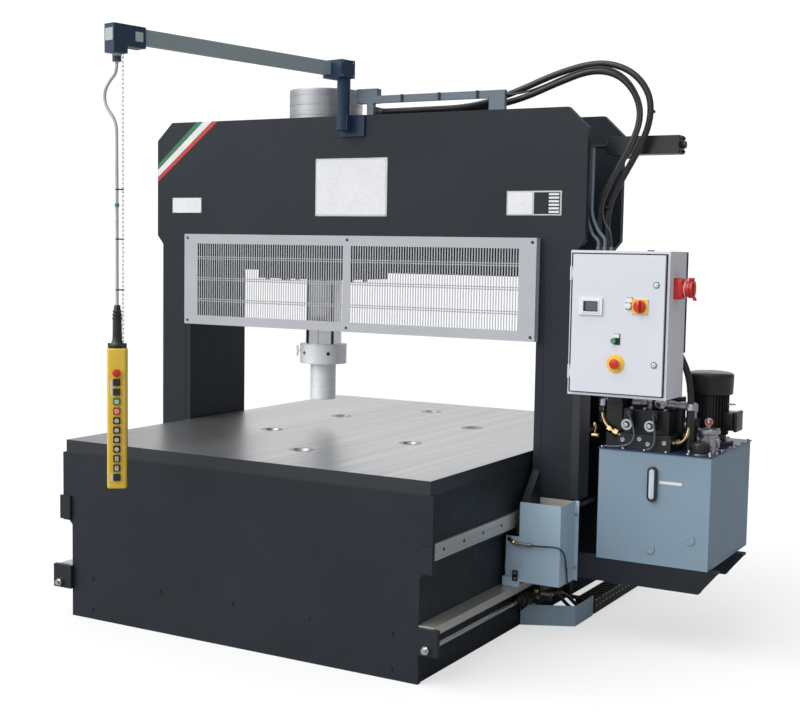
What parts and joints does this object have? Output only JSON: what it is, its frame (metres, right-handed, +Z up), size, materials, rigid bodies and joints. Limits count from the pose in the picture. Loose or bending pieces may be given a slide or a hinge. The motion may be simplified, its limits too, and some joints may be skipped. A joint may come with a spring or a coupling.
{
  "type": "hydraulic press",
  "caption": "Gantry hydraulic straightening press: a portal on wheels travels over a steel work table and carries a sideways-moving press cylinder, guard, power pack, cabinet and pendant.",
  "frame": {"origin": "middle of the work table's base plate, on the floor", "axes": "+X across the table towards the power pack, +Y along the table away from the operator, +Z up"},
  "size_m": [3.401, 3.0935, 2.927],
  "materials": {
    "dark_paint": "satin",
    "cover_paint": "satin",
    "cabinet_paint": "satin",
    "guard_paint": "satin",
    "machined_steel": "brushed",
    "turned_steel": "turned",
    "chrome": "polished",
    "cast_alloy": "cast",
    "motor_paint": "gloss",
    "blackened_steel": "satin",
    "black_rubber": "matte",
    "grey_sheath": "matte",
    "blue_sheath": "matte",
    "yellow_plastic": "satin",
    "black_plastic": "matte",
    "red_plastic": "gloss",
    "green_plastic": "gloss",
    "arm_paint": "satin"
  },
  "bodies": {
    "table": {"table_top": "machined_steel", "table_frame": "dark_paint", "table_end_plates": "dark_paint", "guide_rails": "machined_steel", "end_fittings": "dark_paint", "traverse_rods": "chrome"},
    "portal": {"portal_plates": "dark_paint", "portal_webs": "dark_paint", "axles_and_pads": "dark_paint", "sensor_plug": "cast_alloy", "traverse_barrels": "blackened_steel", "foot_covers": "cover_paint", "ram_guard": "guard_paint", "tank_beams": "dark_paint", "tank": "cover_paint", "motor": "motor_paint", "valve_block": "blackened_steel", "tank_fittings": "cast_alloy", "cabinet_body": "cabinet_paint", "power_inlet": "red_plastic", "cable_ducts": "cover_paint", "carriage_barrel": "dark_paint", "drag_chain": "black_plastic", "arm_bracket": "dark_paint", "loop_hose_outer": "black_rubber", "loop_hose_inner": "black_rubber", "loop_cable": "grey_sheath", "chain_hose_upper": "black_rubber", "chain_hose_lower": "black_rubber", "sensor_lead": "blue_sheath"},
    "carriage": {"carriage_frame": "dark_paint", "main_cylinder": "turned_steel"},
    "ram": {"ram_rod": "chrome", "tool_collar": "turned_steel", "punch": "turned_steel"},
    "arm": {"pendant_arm": "arm_paint", "pendant_cable": "grey_sheath", "pendant_case": "yellow_plastic"},
    "rotor": {"motor_rotor": "black_plastic"},
    "door": {"cabinet_door": "cabinet_paint"},
    "lid": {"inlet_lid": "red_plastic"},
    "main_switch": {"main_switch": "red_plastic"},
    "start_button": {"start_button": "green_plastic"},
    "cabinet_stop": {"cabinet_stop": "red_plastic"},
    "upper_lock": {"door_lock_upper": "cast_alloy"},
    "lower_lock": {"door_lock_lower": "cast_alloy"},
    "pendant_stop": {"pendant_stop": "red_plastic"},
    "wheel_front_left": {"wheel_front_left": "machined_steel"},
    "wheel_front_right": {"wheel_front_right": "machined_steel"},
    "wheel_rear_left": {"wheel_rear_left": "machined_steel"},
    "wheel_rear_right": {"wheel_rear_right": "machined_steel"},
    "pendant_button_01": {"pendant_button_01": "black_plastic"},
    "pendant_button_02": {"pendant_button_02": "black_plastic"},
    "pendant_button_03": {"pendant_button_03": "black_plastic"},
    "pendant_button_04": {"pendant_button_04": "black_plastic"},
    "pendant_button_05": {"pendant_button_05": "black_plastic"},
    "pendant_button_06": {"pendant_button_06": "black_plastic"},
    "pendant_button_07": {"pendant_button_07": "black_plastic"},
    "pendant_button_08": {"pendant_button_08": "black_plastic"},
    "pendant_button_09": {"pendant_button_09": "black_plastic"},
    "pendant_button_10": {"pendant_button_10": "black_plastic"},
    "pendant_button_11": {"pendant_button_11": "black_plastic"}
  },
  "joints": [
    {"name": "portal_travel", "type": "slide", "parent": "table", "child": "portal", "axis": [0, 1, 0], "range_m": [-0.7, 0.2]},
    {"name": "carriage_cross", "type": "slide", "parent": "portal", "child": "carriage", "axis": [1, 0, 0], "range_m": [-0.02, 0.25]},
    {"name": "ram_press", "type": "slide", "parent": "carriage", "child": "ram", "axis": [0, 0, -1], "range_m": [-0.2, 0.14]},
    {"name": "arm_swing", "type": "hinge", "parent": "portal", "child": "arm", "pos_m": [-0.033, -0.311, 2.832], "axis": [0, 0, 1], "range_deg": [-18, 35]},
    {"name": "motor_spin", "type": "hinge", "parent": "portal", "child": "rotor", "pos_m": [1.858, 0.2, 1.25], "axis": [0, 0, 1], "continuous": true},
    {"name": "door_swing", "type": "hinge", "parent": "portal", "child": "door", "pos_m": [1.352, -0.447, 1.596], "axis": [0, 0, -1], "range_deg": [0, 120]},
    {"name": "lid_swing", "type": "hinge", "parent": "portal", "child": "lid", "pos_m": [1.917, -0.35, 1.817], "axis": [0, -1, 0], "range_deg": [0, 110]},
    {"name": "main_switch_turn", "type": "hinge", "parent": "door", "child": "main_switch", "pos_m": [1.702, -0.45, 1.684], "axis": [0, -1, 0], "range_deg": [0, 90]},
    {"name": "start_press", "type": "slide", "parent": "door", "child": "start_button", "axis": [0, 1, 0], "range_m": [0, 0.004], "stiffness_N_per_m": 500},
    {"name": "cabinet_stop_press", "type": "slide", "parent": "door", "child": "cabinet_stop", "axis": [0, 1, 0], "range_m": [0, 0.006], "stiffness_N_per_m": 800},
    {"name": "upper_lock_turn", "type": "hinge", "parent": "door", "child": "upper_lock", "pos_m": [1.778, -0.45, 1.786], "axis": [0, -1, 0], "range_deg": [0, 90]},
    {"name": "lower_lock_turn", "type": "hinge", "parent": "door", "child": "lower_lock", "pos_m": [1.778, -0.45, 1.414], "axis": [0, -1, 0], "range_deg": [0, 90]},
    {"name": "roll_front_left", "type": "hinge", "parent": "portal", "child": "wheel_front_left", "pos_m": [-1.06, -0.35, 0.3603], "axis": [1, 0, 0], "range_deg": [-130, 450]},
    {"name": "roll_front_right", "type": "hinge", "parent": "portal", "child": "wheel_front_right", "pos_m": [1.06, -0.35, 0.3603], "axis": [1, 0, 0], "range_deg": [-130, 450]},
    {"name": "roll_rear_left", "type": "hinge", "parent": "portal", "child": "wheel_rear_left", "pos_m": [-1.06, 0.35, 0.3603], "axis": [1, 0, 0], "range_deg": [-130, 450]},
    {"name": "roll_rear_right", "type": "hinge", "parent": "portal", "child": "wheel_rear_right", "pos_m": [1.06, 0.35, 0.3603], "axis": [1, 0, 0], "range_deg": [-130, 450]},
    {"name": "pendant_stop_press", "type": "slide", "parent": "arm", "child": "pendant_stop", "axis": [-0.6157, 0.788, 0], "range_m": [0, 0.005], "stiffness_N_per_m": 800},
    {"name": "pendant_press_01", "type": "slide", "parent": "arm", "child": "pendant_button_01", "axis": [-0.6157, 0.788, 0], "range_m": [0, 0.0018], "stiffness_N_per_m": 800},
    {"name": "pendant_press_02", "type": "slide", "parent": "arm", "child": "pendant_button_02", "axis": [-0.6157, 0.788, 0], "range_m": [0, 0.0018], "stiffness_N_per_m": 800},
    {"name": "pendant_press_03", "type": "slide", "parent": "arm", "child": "pendant_button_03", "axis": [-0.6157, 0.788, 0], "range_m": [0, 0.0018], "stiffness_N_per_m": 800},
    {"name": "pendant_press_04", "type": "slide", "parent": "arm", "child": "pendant_button_04", "axis": [-0.6157, 0.788, 0], "range_m": [0, 0.0018], "stiffness_N_per_m": 800},
    {"name": "pendant_press_05", "type": "slide", "parent": "arm", "child": "pendant_button_05", "axis": [-0.6157, 0.788, 0], "range_m": [0, 0.0018], "stiffness_N_per_m": 800},
    {"name": "pendant_press_06", "type": "slide", "parent": "arm", "child": "pendant_button_06", "axis": [-0.6157, 0.788, 0], "range_m": [0, 0.0018], "stiffness_N_per_m": 800},
    {"name": "pendant_press_07", "type": "slide", "parent": "arm", "child": "pendant_button_07", "axis": [-0.6157, 0.788, 0], "range_m": [0, 0.0018], "stiffness_N_per_m": 800},
    {"name": "pendant_press_08", "type": "slide", "parent": "arm", "child": "pendant_button_08", "axis": [-0.6157, 0.788, 0], "range_m": [0, 0.0018], "stiffness_N_per_m": 800},
    {"name": "pendant_press_09", "type": "slide", "parent": "arm", "child": "pendant_button_09", "axis": [-0.6157, 0.788, 0], "range_m": [0, 0.0018], "stiffness_N_per_m": 800},
    {"name": "pendant_press_10", "type": "slide", "parent": "arm", "child": "pendant_button_10", "axis": [-0.6157, 0.788, 0], "range_m": [0, 0.0018], "stiffness_N_per_m": 800},
    {"name": "pendant_press_11", "type": "slide", "parent": "arm", "child": "pendant_button_11", "axis": [-0.6157, 0.788, 0], "range_m": [0, 0.0018], "stiffness_N_per_m": 800}
  ],
  "couplings": [
    {"joint": "roll_front_left", "follows": "portal_travel", "rad_per_m": -11.111},
    {"joint": "roll_front_right", "follows": "portal_travel", "rad_per_m": -11.111},
    {"joint": "roll_rear_left", "follows": "portal_travel", "rad_per_m": -11.111},
    {"joint": "roll_rear_right", "follows": "portal_travel", "rad_per_m": -11.111}
  ]
}
